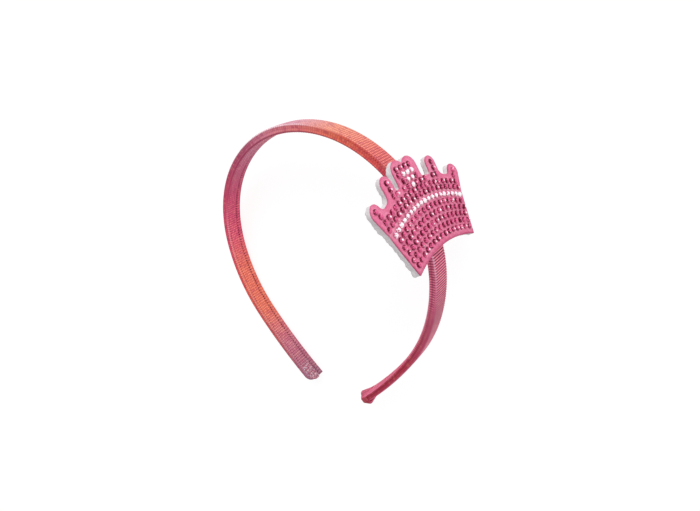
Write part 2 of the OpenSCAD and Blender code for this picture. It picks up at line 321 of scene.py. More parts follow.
def make_woven_cells():
    """Cells of a weave: the swing along times the swing across, for a light spot on each crossing, and the
    swing along alone for ribs. Spots blends from ribs to crossings. Top is 1 on top of the yarn. Tone is one
    random value for each cell, from its rounded place counted in pitches."""
    bench, into, out = group(
        "woven_cells",
        [("Run", VECTOR, None), ("Along Pitch", FLOAT, RIB), ("Across Pitch", FLOAT, RIB),
         ("Spots", FLOAT, 0.5)],
        [("Top", FLOAT), ("Fibre", FLOAT), ("Tone", FLOAT)])
    split = bench.split(into["Run"])
    along = bench.calc("DIVIDE", bench.times(split[0], UV_MM), into["Along Pitch"])
    across = bench.calc("DIVIDE", bench.times(split[1], UV_MM), into["Across Pitch"])
    cell = bench.add("ShaderNodeCombineXYZ",
                     {0: bench.calc("ROUND", along), 1: bench.calc("ROUND", across)}).outputs[0]
    tone = bench.add("ShaderNodeTexWhiteNoise", {"Vector": cell}, noise_dimensions="2D")
    bench.feed(out["Tone"], tone.outputs["Value"])
    ribs = bench.swing(along, 1.0)
    spots = bench.calc("POWER", bench.times(ribs, bench.swing(across, 1.0)), 0.7)
    bench.feed(out["Top"], bench.plus(bench.times(spots, into["Spots"]),
                                      bench.times(ribs, bench.minus(1.0, into["Spots"]))))
    # Fibres run along the arm, so their noise is finer across it
    fine = bench.add("ShaderNodeVectorMath", {0: into["Run"], 1: (300.0, 1400.0, 1.0)}, operation="MULTIPLY")
    bench.feed(out["Fibre"], bench.noise(fine.outputs[0], 1.0, 2.0, 0.6))
    return bench.tree


def make_patchy():
    """Slow patches of two sizes: noise on the object's own coordinates, stretched to 0 to 1 about its
    middle."""
    bench, into, out = group(
        "patchy", [("Place", VECTOR, None), ("Size", FLOAT, 0.01), ("Fine Size", FLOAT, 0.001)],
        [("Broad", FLOAT), ("Fine", FLOAT)])
    for label, size in (("Broad", "Size"), ("Fine", "Fine Size")):
        grain = bench.noise(into["Place"], bench.calc("DIVIDE", 1.0, into[size]), 3.0, 0.6)
        bench.feed(out[label], bench.between(grain, 0.3, 0.7))
    return bench.tree


WOVEN_CELLS = make_woven_cells()
PATCHY = make_patchy()


def material(name, **settings):
    """A material with its output and one Principled shader whose plain sockets are set from settings."""
    made = bpy.data.materials.new(name)
    made.use_nodes = True
    bench = Bench(made.node_tree)
    shader = made.node_tree.nodes["Principled BSDF"]
    for label, value in settings.items():
        shader.inputs[label.replace("_", " ")].default_value = value
    return made, bench, shader.inputs


# Dye along each face of the ribbon as stops: arc length from the top in mm, then the colour
OUTER_DYE = [(-190, (160, 95, 115)), (-135, (230, 100, 75)), (-60, (195, 90, 125)), (-2, (206, 154, 168)),
             (18, (226, 146, 112)), (40, (214, 102, 86)), (56, (204, 78, 98)), (90, (214, 86, 126)),
             (118, (160, 76, 105)), (190, (190, 82, 110))]
# The edges' dye is ombre, also darker than the faces' as painted shade
SIDE_DYE_AND_SHADE = [(-190, (158, 100, 126)), (-160, (202, 88, 88)), (-132, (230, 82, 54)), (-100, (226, 70, 104)),
            (-60, (186, 66, 100)), (-40, (172, 78, 110)), (-20, (214, 128, 150)), (22, (240, 112, 78)),
            (44, (232, 86, 80)), (56, (190, 60, 92)), (80, (214, 84, 124)), (105, (230, 108, 146)),
            (128, (192, 70, 100)), (150, (180, 38, 62)), (190, (166, 32, 56))]
INNER_DYE = [(-190, (134, 90, 110)), (-168, (180, 108, 124)), (-145, (220, 112, 76)), (-115, (232, 112, 86)),
             (-96, (230, 88, 116)), (-78, (222, 76, 118)), (-60, (198, 82, 120)), (-38, (196, 116, 146)),
             (20, (220, 92, 88)), (80, (210, 66, 100)), (190, (224, 92, 130))]
# The ridge line: its bright stops are painted highlight where the ribs turn over the ridge
RIDGE_DYE_AND_HIGHLIGHT = [(-60, (208, 146, 170)), (-42, (255, 250, 252)), (-2, (238, 210, 222)), (14, (216, 140, 130)),
             (26, (176, 68, 54)), (44, (156, 46, 46)), (86, (250, 190, 212)), (104, (206, 120, 146)),
             (120, (168, 70, 98)), (150, (190, 88, 118)), (190, (206, 100, 132))]
RIM_DYE = [(-190, (162, 122, 146)), (-158, (208, 136, 136)), (-118, (246, 162, 138)), (-92, (248, 162, 172)),
           (-72, (208, 74, 116)), (-40, (172, 60, 92)), (0, (150, 44, 78)), (50, (150, 40, 68)),
           (90, (200, 100, 128)), (110, (236, 196, 208)), (135, (236, 140, 172)), (190, (255, 136, 180))]
FOLD_DYE = [(-190, (196, 60, 104)), (190, (204, 64, 108))]


# The stops lie between this far to the left and to the right of the top
DYE_REACH = 200.0
# Wine for the real dark stitches, and as painted shade in the weave's gaps and the front edge's crease
WINE_AND_SHADE, BERRY = paint(96, 14, 42), paint(158, 36, 82)
APRICOT, GLUE_WHITE = paint(238, 158, 128), paint(208, 200, 206)
# Painted highlight, added on the yarn tops
YARN_HIGHLIGHT = (0.26, 0.13, 0.14, 1.0)


def dye(bench, along, table):
    """Ombre along the arm: the arc length in mm, stretched to 0 to 1, picks the colour between the stops."""
    place = bench.times_plus(along, 0.5 / DYE_REACH, 0.5)
    return bench.ramp(place, [(0.5 + s * 0.5 / DYE_REACH, paint(*colour)) for s, colour in table])


def ribbon_stuff(name, depth, faces, inner_dye=INNER_DYE):
    """Ribbon: the dye of each face, painted shade in the gaps between yarn tops that carry painted highlight,
    cells of uneven tone and a faint silky sheen. faces(bench, along, across) gives masks by name from the
    place in mm: how much painted highlight the tops take and how much painted shade the gaps, the rib pitch,
    how far ribs turn to spots, which dye each stretch takes, and where lines and stitches run."""
    made, bench, shader = material(name, Sheen_Weight=0.06, Sheen_Roughness=0.4,
                                   Sheen_Tint=paint(255, 190, 205), Specular_IOR_Level=0.15)
    run = bench.run()
    along, across = (bench.times(part, UV_MM) for part in bench.split(run)[:2])
    masks = faces(bench, along, across)
    inputs = {"Run": run, "Along Pitch": masks["pitch"], "Spots": masks["spots"]}
    cells = bench.add("ShaderNodeGroup", inputs, node_tree=WOVEN_CELLS)
    top, fibre, tone = (cells.outputs[label] for label in ("Top", "Fibre", "Tone"))
    broad, fine = bench.patches(0.012, 0.0016)
    colour = dye(bench, along, inner_dye)
    for face, table in (("side", SIDE_DYE_AND_SHADE), ("outer", OUTER_DYE)):
        if face in masks:
            colour = bench.blend(masks[face], colour, dye(bench, along, table))
    colour = bench.blend(bench.between(tone, 0.45, 0.0, 0.0, 0.4), colour, BERRY)
    colour = bench.blend(bench.between(tone, 0.6, 1.0, 0.0, 0.18), colour, APRICOT)
    # Painted shade in the gaps between the yarn tops, and painted highlight added on the tops
    crisp = bench.between(top, 0.08, 0.72)
    colour = bench.blend(bench.times(bench.minus(1.0, crisp), masks["gap"]), colour, WINE_AND_SHADE)
    colour = bench.blend(bench.times(crisp, masks["highlight"]), colour, YARN_HIGHLIGHT, "ADD")
    # Dotted lines: the ridge's bright dots are painted highlight on the rib tops
    dots = bench.times_plus(bench.swing(along, RIB), 0.85, 0.2)
    for line, table in (("ridge", RIDGE_DYE_AND_HIGHLIGHT), ("rim", RIM_DYE)):
        if line in masks:
            colour = bench.blend(bench.times(masks[line], dots), colour, dye(bench, along, table))
    colour = bench.blend(bench.times(fine, 0.14), colour, BERRY)
    # Painted shade in the front edge's crease and on the lining's bed
    if "dark" in masks:
        colour = bench.blend(masks["dark"], colour, WINE_AND_SHADE)
    if "seam" in masks:
        stitch = bench.between(bench.swing(along, STITCH), 0.35, 0.7)
        colour = bench.blend(bench.times(masks["seam"], stitch), colour, WINE_AND_SHADE)
    if "glued" in masks:
        blotch = bench.between(bench.noise(bench.place(), 1100.0, 3.0, 0.7), 0.52, 0.62)
        colour = bench.blend(bench.times(masks["glued"], blotch), colour, GLUE_WHITE)
    bench.feed(shader["Base Color"], colour)
    height = bench.times_plus(fibre, 0.35, bench.times(top, 0.65))
    bench.feed(shader["Normal"], bench.relief(height, 0.7, depth))
    dull = bench.times_plus(fibre, 0.5, broad)
    bench.feed(shader["Roughness"], bench.between(dull, 0.0, 1.5, 0.5, 0.75))
    return made


# The covered band
def band_section():
    """Section of the covered band as n outward and w to the front, run round once: the outer face, the front
    edge with its shallow hollow, the inner face with the bed of the lining, the back edge. Corners are
    quarter circles. The third value is how far the ribs stand out at that point."""
    half_t, half_w, r = BAND_T / 2, BAND_W / 2, EDGE_R
    outer_rib, corner_rib, edge_rib = 0.09, 0.05, 0.045
    face = np.linspace(-1, 1, 15)
    outer = np.stack([half_t + 0.06 * (1 - face**2), face * (half_w - r), np.full(15, outer_rib)], -1)
    edge = np.linspace(1, -1, 9)
    hollow = 0.14 * np.cos(edge * np.pi / 2) ** 2
    front = np.stack([edge * (half_t - r), half_w - hollow, np.full(9, edge_rib)], -1)
    bed = half_t - LINING_PROUD
    inner = np.array([[-half_t, LINING_FRONT + 0.04, 0.0], [-bed, LINING_FRONT + 0.02, 0.0],
                      [-bed, 1.4, 0.0], [-bed, LINING_BACK - 0.1, 0.0], [-half_t, LINING_BACK - 0.25, 0.0]])
    margin = np.linspace(LINING_BACK - 0.5, -(half_w - r), 6)
    margin = np.stack([np.full(6, -half_t), margin, np.full(6, edge_rib)], -1)
    back = np.stack([edge[::-2] * (half_t - r), -half_w + hollow[::-2], np.full(5, edge_rib)], -1)

    def corner(side_n, side_w, quarters, rib):
        a = quarters * np.pi / 2 + np.radians([22.5, 45.0, 67.5])
        return np.stack([side_n * (half_t - r) + r * np.cos(a), side_w * (half_w - r) + r * np.sin(a),
                         np.full(3, rib)], -1)

    return np.concatenate([outer, corner(1, 1, 0, outer_rib), front, corner(-1, 1, 1, corner_rib), inner,
                           margin, corner(-1, -1, 2, corner_rib), back, corner(1, -1, 3, outer_rib)])


def rounded_limit(d, r):
    """How much a corner of radius r takes off at a distance d from the end: r less the circle's height."""
    d = np.clip(d, 0, r)
    return r - np.sqrt(r**2 - (r - d) ** 2)


def plump(s, n):
    """Outward distance in the padded cover: a little more on the inner side near the top, and on the outer
    side of the right arm, each by a soft bump along the arc length."""
    inside, outside = bump_at(s, -25.0, 65.0), bump_at(s, 130.0, 45.0)
    return n * (1 + np.where(n < 0, 0.3 * inside, 0.27 * outside))


def arc_steps(reach):
    """Arc lengths a quarter of a rib apart, up to a reach on both sides of the top."""
    step = RIB / 4
    count = round(reach / step)
    return np.arange(-count, count + 1) * step


def make_band_cover(stuff):
    """The section carried along the arch with a rib every pitch: each point stands out from the section by
    its rib height times the cosine of the arc length, faint at the top and bold on the right arm. Near the
    ends the part in front of the seam is squeezed under a rounded corner, and the last rings shrink to close
    the end."""
    section = band_section()
    n, w, rib = section.T
    end = HALF_RUN + 0.8
    cap = end - np.array([0.0, 0.03, 0.12, 0.3])
    s = np.concatenate([-cap, arc_steps(HALF_RUN), cap[::-1]])[:, None]
    shrink = np.ones((len(s), 1))
    shrink[:4, 0] = shrink[:-5:-1, 0] = [0.72, 0.86, 0.95, 0.99]
    bold = 0.4 + 0.8 * np.clip((s - 60) / 30, 0, 1) + 0.3 * np.clip((-s - 60) / 30, 0, 1)
    out = rib * bold * np.cos(2 * np.pi * s / RIB)
    across = np.roll(section[:, :2], -1, 0) - np.roll(section[:, :2], 1, 0)
    across /= np.linalg.norm(across, axis=1)[:, None]
    normal = np.stack([across[:, 1], -across[:, 0]], -1)
    normal *= np.sign((normal * (section[:, :2] - [n.mean(), w.mean()])).sum())
    grid_n = n + out * normal[:, 0]
    grid_w = w + out * normal[:, 1]
    squeezed = 1 - rounded_limit(end - np.abs(s), 4.8) / (BAND_W / 2 - LINING_BACK)
    grid_w = np.where(grid_w > LINING_BACK, LINING_BACK + (grid_w - LINING_BACK) * squeezed, grid_w)
    middle = grid_w.mean(1, keepdims=True)
    grid_n = plump(s, grid_n * shrink)
    grid_w = middle + (grid_w - middle) * (1 - (1 - shrink) * 0.3)
    sides = np.linalg.norm(np.roll(section[:, :2], -1, 0) - section[:, :2], axis=1)
    round_trip = np.concatenate([[0.0], np.cumsum(sides)])
    return tube("ribbon_cover", band_point(s, grid_n, grid_w), s[:, 0], round_trip, stuff)


def inner_gap_shade(bench, along):
    """How dark the painted shade in the weave's gaps is on the inner face: less in the orange stretch of the
    left arm.
    """
    above = bench.between(along, -108.0, -86.0, 0.0, 0.1)
    return bench.plus(above, bench.between(along, -150.0, -168.0, 0.26, 0.32))


# Stretches on the way round the section, each from and to in mm: the two parts of the outer face, the ridge
# and the front edge beside it, the rim of the inner face, that whole face, the lining's bed and its seam
OUTER_FACE, OUTER_BACK, RIDGE, FRONT_EDGE = (-1.0, 9.3), (25.9, 30.0), (9.0, 9.9), (9.9, 12.2)
RIM, INNER_FACE, BED, SEAM = (12.1, 12.95), (12.6, 22.6), (13.2, 19.3), (19.5, 20.2)


def cover_faces(bench, along, across):
    """Masks from the distance round the section in mm, each a soft step up times a soft step down. Past the
    crown, on the right arm, the outer face turns from spots to bold ribs, and the front edge less so. The
    dark mask is painted shade in the front edge's crease and on the lining's bed."""

    def stretch(start, end, soft=0.15):
        return bench.times(bench.between(across, start - soft, start + soft),
                           bench.between(across, end + soft, end - soft))

    arm = bench.between(along, 62.0, 90.0)
    inner = stretch(*INNER_FACE)
    outer = bench.plus(stretch(*OUTER_FACE), stretch(*OUTER_BACK))
    bold = bench.times(outer, arm)
    # Painted shade in the crease along the middle of the front edge, on the right arm
    hollow = bench.times(stretch(10.6, 11.4, 0.3), bench.times(arm, 0.35))
    front = bench.times(stretch(*FRONT_EDGE), bench.times(arm, bench.between(along, 150.0, 125.0)))
    plain_gap_shade = 0.18
    gap = bench.times_plus(bold, 0.7, bench.times_plus(outer, 0.19, plain_gap_shade))
    gap = bench.times_plus(front, 0.42, gap)
    highlight = bench.times_plus(inner, 0.2, bench.times_plus(outer, 0.45, 0.25))
    return {"outer": outer,
            "side": bench.minus(1.0, inner),
            "pitch": bench.times_plus(inner, MARGIN_RIB - RIB, RIB),
            "dark": bench.calc("MAXIMUM", hollow, stretch(*BED)),
            "ridge": stretch(*RIDGE),
            "rim": stretch(*RIM),
            "seam": stretch(*SEAM, 0.1),
            "spots": bench.times_plus(bold, -0.7, bench.times_plus(front, -0.5, 0.85)),
            "highlight": bench.times_plus(front, 0.3, bench.times_plus(bold, 1.7, highlight)),
            "gap": bench.times_plus(inner, bench.minus(inner_gap_shade(bench, along), plain_gap_shade), gap),
            "glued": bench.between(along, -181.0, -188.0, 0.0, 0.1)}


def lining_faces(bench, along, across):
    """All of the lining takes the inner dye, in bold spots, whitened by set glue at the left tip. Dark
    stitches run where its edge loops start."""
    loops = bench.times(bench.between(across, 5.0, 5.25), bench.between(across, 5.75, 5.5))
    return {"pitch": LINING_RIB,
            "spots": 0.85,
            "highlight": 0.55,
            "gap": inner_gap_shade(bench, along),
            "seam": bench.times(loops, 0.6),
            "glued": bench.between(along, -180.0, -187.0, 0.0, 0.7)}


def make_lining(stuff):
    """A flat strip carried along the inner face: its open side has a rounded knob on each crossing of the
    weave, the swing along times the swing across; its front edge is drawn out into a small loop each pitch.
    Towards each end the width closes under two rounded corners."""
    across = np.linspace(LINING_BACK + 0.12, LINING_FRONT - 0.06, 25)
    width = across[-1] - across[0]
    end = HALF_RUN + 1.5
    s = arc_steps(end)
    s = np.concatenate([[-end, -end + 0.08], s[np.abs(s) < end - 0.2], [end - 0.08, end]])[:, None]
    along = 0.5 + 0.5 * np.cos(2 * np.pi * s / LINING_RIB)
    swing = 0.5 + 0.5 * np.cos(2 * np.pi * (across - across[0]) / LINING_RIB)
    top = -(BAND_T / 2 + LINING_PROUD - 0.1 + 0.11 * along * swing)
    top[:, [0, -1]] += 0.12
    under = np.full((len(s), 3), -(BAND_T / 2 - LINING_PROUD + 0.04))
    n = np.concatenate([top, under], 1)
    share = np.concatenate([across, across[[-1, 12, 0]]])
    share = (share - across[0]) / width
    to_end = end - np.abs(s)
    front = across[-1] - rounded_limit(to_end, 4.0)
    back = across[0] + rounded_limit(to_end, 1.3)
    w = back + (front - back) * share + 0.1 * along * (share > 0.999)
    beyond = np.clip(np.abs(s) - HALF_RUN, 0, None)
    n = plump(s, n) + 0.12 * beyond**1.5
    round_trip = np.concatenate([across - across[0], [7.0, 10.0, 13.0, 13.2]])
    return tube("lining_weave", band_point(s, n, w), s[:, 0], round_trip, stuff)


def make_fold(stuff):
    """The ribbon's end as a cap pulled over the tip of the right arm: rings round the band that start as its
    outline a little swollen, bulge on the outer face, flare at the back corner and close behind the end. The
    end is cut on a slant: the front closes first, the back runs on."""
    rows, cols = 46, 72
    t = np.linspace(0, 1, rows)[:, None]
    a = np.linspace(0, 2 * np.pi, cols, endpoint=False)[None, :]
    # Rounded rectangle: the sine and cosine are raised to a small power
    cw = np.sign(np.cos(a)) * np.abs(np.cos(a)) ** 0.35
    cn = np.sign(np.sin(a)) * np.abs(np.sin(a)) ** 0.45
    outside, inside = np.clip(cn, 0, 1), np.clip(-cn, 0, 1)
    front = (1 + cw) / 2
    start = 187.2 + 0.5 * np.sin(3 * a) + 0.8 * (cn < 0)
    end = 192.4 * front + 202.8 * (1 - front) - 0.9 * bump_at(cw, 0.1, 0.4)
    s = start + (end - start) * t
    swell = 0.35 + 0.15 * np.sin(5 * a + 2.0)
    lump = 1.8 * bump_at(s, 189.0, 2.3) * outside * (0.45 + 0.55 * front)
    flare = 1.25 * np.clip((s - 191.0) / 8.0, 0, 1) ** 1.2 * (1 - front) * inside
    close = np.sqrt(1 - np.clip((t - 0.82) / 0.18, 0, 1) ** 2)
    pinch = 1 - 0.15 * np.clip((t - 0.55) / 0.45, 0, 1)
    thick = BAND_T / 2 + swell * np.minimum(1, t * 8 + 0.25)
    n = (cn * thick * pinch + lump - flare) * close
    w = cw * (BAND_W / 2 + 0.15 + 0.1 * np.sin(7 * a)) * (0.9 + 0.1 * close)
    along, round_trip = np.linspace(187, 198, rows), np.linspace(0, 27.6, cols + 1)
    return tube("ribbon_end_cap", band_point(s, n, w), along, round_trip, stuff)


def fold_faces(bench, along, across):
    """The cap's front edge, first and last on the way round, takes the side dye, deeper partly as painted
    shade.
    """
    front = bench.plus(bench.between(across, 2.6, 1.4), bench.between(across, 25.0, 26.2))
    return {"pitch": RIB, "side": front, "spots": 0.7, "highlight": 0.5, "gap": 0.5}


# The crown
def share_place(x, y):
    """A place from its shares: sideways of half the crown's width, up of its height from its top. Here and
    in the outline a place is one complex number, x plus y times i, so that a turn is a product."""
    return complex(x * CROWN_W / 2, CROWN_TOP + y * CROWN_H)


def beside(a, b, gap):
    """A line parallel to the one from a to b and a gap to its right, as its start and its direction."""
    way = (b - a) / abs(b - a)
    return a - 1j * gap * way, way


def crossing(line, other):
    """Where two lines cross: the way along the first is a ratio of two cross products."""
    (start, way), (start2, way2) = line, other
    return start + way * ((start2 - start).conjugate() * way2).imag / (way.conjugate() * way2).imag


def on_line(line, centre, reach):
    """The far point of a line at a distance from a centre, by Pythagoras."""
    start, way = line
    foot = (centre - start) * way.conjugate()
    return start + way * (foot.real + math.sqrt(reach**2 - foot.imag**2))


def on_both(a, reach_a, b, reach_b):
    """The point at given distances from a and b, to the left of the way from a to b."""
    span = abs(b - a)
    foot = (span**2 + reach_a**2 - reach_b**2) / (2 * span)
    return a + (b - a) / span * complex(foot, math.sqrt(reach_a**2 - foot**2))


def crown_circles():
    """The circles that the outline runs round, as centre and radius, with a minus where it is hollow: from
    the middle of the base up the right side, over the heart and down the left side, a mirror image of the
    right. A valley's centre stands off both of its sides by its own radius."""
    base, top = complex(0, CROWN_TOP - CROWN_H - CURVE_R), complex(0, CROWN_TOP - CURVE_R)
    half = CROWN_BASE_W / 2
    # The flared side and the middle lines of the spikes, each from its lower end to its upper end
    flare = base + complex(half, math.sqrt(CURVE_R**2 - half**2)), complex(CROWN_W / 2, 0)
    outer = share_place(0.88, -0.41), share_place(1, -0.181)
    inner = share_place(0.535, -0.27), share_place(0.56, 0.09)
    right = [
        (base, -CURVE_R),
        (on_line(beside(*flare, -CORNER_R), base, CURVE_R + CORNER_R), CORNER_R),
        (crossing(beside(*flare, NARROW_R), beside(*outer, OUTER_SPIKE_R + NARROW_R)), -NARROW_R),
        (outer[1], OUTER_SPIKE_R),
        (on_both(top, CURVE_R + WIDE_R, outer[1], OUTER_SPIKE_R + WIDE_R), -WIDE_R),
        (top, CURVE_R),
        (on_line(beside(*inner, INNER_SPIKE_R + WIDE_R), top, CURVE_R + WIDE_R), -WIDE_R),
        (inner[1], INNER_SPIKE_R),
        (on_line(beside(*inner, -INNER_SPIKE_R - NARROW_R), top, CURVE_R + NARROW_R), -NARROW_R),
        (top, CURVE_R)]
    lobes = [complex(HEART_X + side * LOBE_HALF, LOBE_Y) for side in (1, -1)]
    valleys = [on_line((lobe + side * (LOBE_R + NARROW_R), 1j), top, CURVE_R + NARROW_R)
               for lobe, side in zip(lobes, (1, -1))]
    notch = on_both(lobes[1], LOBE_R + NARROW_R, lobes[0], LOBE_R + NARROW_R)
    heart = [(valleys[0], -NARROW_R), (lobes[0], LOBE_R), (notch, -NARROW_R), (lobes[1], LOBE_R),
             (valleys[1], -NARROW_R)]
    return right + heart + [(-centre.conjugate(), radius) for centre, radius in right[::-1]]


def nearest(points, places):
    """Distance from each point to the nearest of the places, seen from the front."""
    return np.sqrt(((points[:, None, :2] - places[None]) ** 2).sum(-1)).min(1)


def crown_rim():
    """The outline at even spacing: each circle is joined to the next by their common tangent, whose outward
    normal is the way between the centres turned back by the arc cosine of the radii's difference over their
    distance. Gives the points, the outward normals, the length so far and in all."""
    centre, radius = np.array(crown_circles()).T
    radius = radius.real
    way = np.diff(centre)
    joint = np.angle(way) - np.arccos(np.clip(-np.diff(radius) / np.abs(way), -1, 1))
    start = np.append(-np.pi / 2, joint)
    end = np.append(joint, -np.pi / 2)
    # Round ends turn left and hollows right, the inner spike by just half a turn
    turn = np.sign(radius)
    sweep = turn * ((turn * (end - start) + np.pi / 2) % (2 * np.pi) - np.pi / 2)
    angle = start[:, None] + sweep[:, None] * np.linspace(0, 1, 40)
    corner = (centre[:, None] + radius[:, None] * np.exp(1j * angle)).ravel()
    corner = np.append(corner, corner[0])
    length = np.append(0.0, np.cumsum(np.abs(np.diff(corner))))
    count = round(length[-1] / RIM_STEP)
    at = np.arange(count) * length[-1] / count
    rim = np.interp(at, length, corner)
    rim = np.stack([rim.real, rim.imag], -1)
    # The foremost spike is cut slimmer than its mirror image: its outer side is pulled in, most at the tip
    rim[:, 0] += 1.15 * np.clip((-rim[:, 0] - 24) / 10, 0, 1) * np.clip((rim[:, 1] + 12) / 16, 0, 1)
    along = np.roll(rim, -1, 0) - np.roll(rim, 1, 0)
    along /= np.linalg.norm(along, axis=1)[:, None]
    return rim, np.stack([along[:, 1], -along[:, 0]], -1), at, length[-1]


def fill(rim, step):
    """Flat filling of a rim: points of a lattice, with every other row shifted by half a step, that lie over
    0.6 of a step inside it, and the triangles between them and the rim. The rim's points come first. A point
    is inside when a line from it to the right crosses the rim an odd number of times."""
    lattice = np.stack(np.meshgrid(np.arange(-36, 36.1, step), np.arange(-23, 22.1, step)), -1).reshape(-1, 2)
    lattice[:, 0] += np.where(np.round(lattice[:, 1] / step) % 2 == 0, 0, step / 2)
    a, b = rim, np.roll(rim, -1, 0)
    x, y = lattice[:, :1], lattice[:, 1:]
    over = (a[:, 1] > y) != (b[:, 1] > y)
    rise = np.where(np.abs(b[:, 1] - a[:, 1]) < 1e-9, 1e-9, b[:, 1] - a[:, 1])
    crossed_at = a[:, 0] + (y - a[:, 1]) * (b[:, 0] - a[:, 0]) / rise
    inside = (over & (x < crossed_at)).sum(1) % 2 == 1
    far = nearest(lattice, rim) > step * 0.6
    points = np.concatenate([rim, lattice[inside & far]])
    k = np.arange(len(rim))
    sides = np.stack([k, np.roll(k, -1)], -1).tolist()
    flat = [Vector(point) for point in points.tolist()]
    _, _, triangles, first_index, _, _ = delaunay_2d_cdt(flat, sides, [], 1, 1e-6)
    return points, np.concatenate(first_index)[np.array(triangles)]


def face_map(points, faces):
    """UV of each corner from the crown's own x and y in mm, whose middle is at one half."""
    return points[:, :2][faces] / UV_MM + 0.5


def slab(name, levels, fill_step, stuff, front_wave, back_wave, shade=None):
    """Closed slab on the crown's outline. levels are rows of height, outward shift along the rim and rise
    along the rim; neighbouring levels are joined by quads, and the first and last are filled flat, with a
    soft wave on the filling. A shade from 0 to 1 may be kept on each point."""
    rim, normal, at, total = crown_rim()
    count = len(rim)
    rings = [(rim + normal * shift(at, total)[:, None], height + rise(at, total))
             for height, shift, rise in levels]
    rows = len(levels)
    faces = [ring_quads(rows, count)]
    points = [np.column_stack(ring) for ring in rings]
    used = rows * count
    for row, wave, turn in ((0, back_wave, -1), (rows - 1, front_wave, 1)):
        filled, triangles = fill(rings[row][0], fill_step)
        inner = filled[count:]
        level = rings[row][1].mean() + wave(inner[:, 0], inner[:, 1])
        points.append(np.column_stack([inner, level]))
        index = np.concatenate([row * count + np.arange(count), used + np.arange(len(inner))])
        faces.append(index[triangles][:, ::turn][:, [0, 1, 2, 2]])
        used += len(inner)
    points = np.concatenate(points)
    faces = np.concatenate(faces)
    made = piece(name, lay(crown_point(*points.T)), faces, face_map(points, faces), stuff)
    if shade:
        keep(made, "shade", "POINT", shade(points))
    return made


def steady(shift):
    """The same shift all along the rim."""
    return lambda at, total: np.full(len(at), shift)


def wavy(base, strength, lengths, seed):
    """A shift that swings about its base by waves, so many to the rim's length."""
    return lambda at, total: base + strength * waves(at, total / np.array(lengths), seed)


STILL = steady(0.0)


def make_foam(stuff):
    """White foam: the wall leans out a little in the middle, and its cut rear edge wanders in and out and up
    and down by waves that fit the rim's length, with a few torn lumps near the front corner of the base."""

    lumps = [
        # distance back from the start of the rim, height, width
        (25, 1.1, 1.4), (29, 0.6, 1.2), (47, 0.6, 2.4), (66, 0.5, 3.0), (98, 0.8, 6.0)]

    def torn(strength, base=0.0):
        """A base plus slow and quick waves and the lumps, by a strength."""

        def shift(at, total):
            slow = waves(at, total / np.array([9, 17, 31, 53]), 4)
            quick = waves(at, total / np.array([71, 97, 131]), 9)
            lump = sum(high * bump_at(at, total - back, wide) for back, high, wide in lumps)
            return strength * (0.16 * slow + 0.1 * quick + 0.6 * lump) + base

        return shift

    def fine(strength, seed):
        return wavy(0.0, strength, [60, 113, 171, 205], seed)

    def torn_to_fine(at, total):
        return torn(0.5)(at, total) + fine(0.05, 3)(at, total)

    levels = [
        # height, outward shift, rise
        (FOAM_BACK + 0.02, torn(1.0, -0.28), torn(-0.3)),
        (FOAM_BACK + 0.1, torn(1.0, -0.06), torn(-0.5)),
        (FOAM_BACK + 0.35, torn(0.9, 0.02), torn(-0.4)),
        (FOAM_BACK + 0.7, torn_to_fine, STILL),
        (FOAM_BACK + 1.1, fine(0.06, 5), STILL),
        (FOAM_BACK + 1.5, fine(0.06, 6), STILL),
        (FOAM_FRONT - 0.12, fine(0.04, 7), STILL),
        (FOAM_FRONT, steady(-0.1), STILL)]

    def flat(x, y):
        return np.full(len(x), -0.02)

    def dents(x, y):
        return 0.09 * waves(x + 0.6 * y, [5.1, 8.3, 3.7], 21) + 0.07 * waves(y - 0.4 * x, [6.3, 4.1, 9.9], 22)

    return slab("foam_slab", levels, 0.9, stuff, flat, dents)


def shade_by_stones(points):
    """How dark the felt is: more where no stone is near, from the distance to the nearest, at the lower rim
    and on the right side, and a thin line of painted shade at the rounded cut edge."""
    edge = nearest(points, crown_rim()[0])
    bare = np.clip((nearest(points, np.concatenate(stone_places())) - 1.5) / 1.2, 0, 1)
    low = np.clip(-points[:, 1] / 14, 0, 1) ** 1.5
    right = np.clip(points[:, 0] / 30, 0, 1)
    return np.clip(0.2 * bare + 0.3 * low * bare + 0.14 * right + 0.25 * bump_at(edge, 0.0, 0.4), 0, 1)


def make_felt(stuff):
    """Felt face: a thin sheet with a rounded, slightly fuzzy cut edge, its front uneven by less than a tenth
    of a millimetre."""

    def fuzzy(base, strength, seed):
        return wavy(base, strength, [83, 127, 191, 251], seed)

    levels = [
        # height, outward shift, rise
        (FELT_BACK, steady(-0.12), STILL),
        (FELT_BACK + 0.05, fuzzy(0.02, 0.04, 31), STILL),
        (FELT_BACK + 0.22, fuzzy(0.06, 0.05, 32), STILL),
        (FELT_FRONT - 0.2, fuzzy(0.03, 0.05, 33), STILL),
        (FELT_FRONT - 0.07, fuzzy(-0.07, 0.04, 34), STILL),
        (FELT_FRONT - 0.01, fuzzy(-0.25, 0.03, 35), STILL)]

    def flat(x, y):
        return np.zeros(len(x))

    def nap(x, y):
        waved = waves(x + 0.5 * y, [1.9, 3.1, 4.7], 41) + waves(y - 0.3 * x, [2.3, 3.7, 5.9], 42)
        return 0.03 * waved - 0.03

    return slab("felt_face", levels, 0.6, stuff, nap, flat, shade_by_stones)


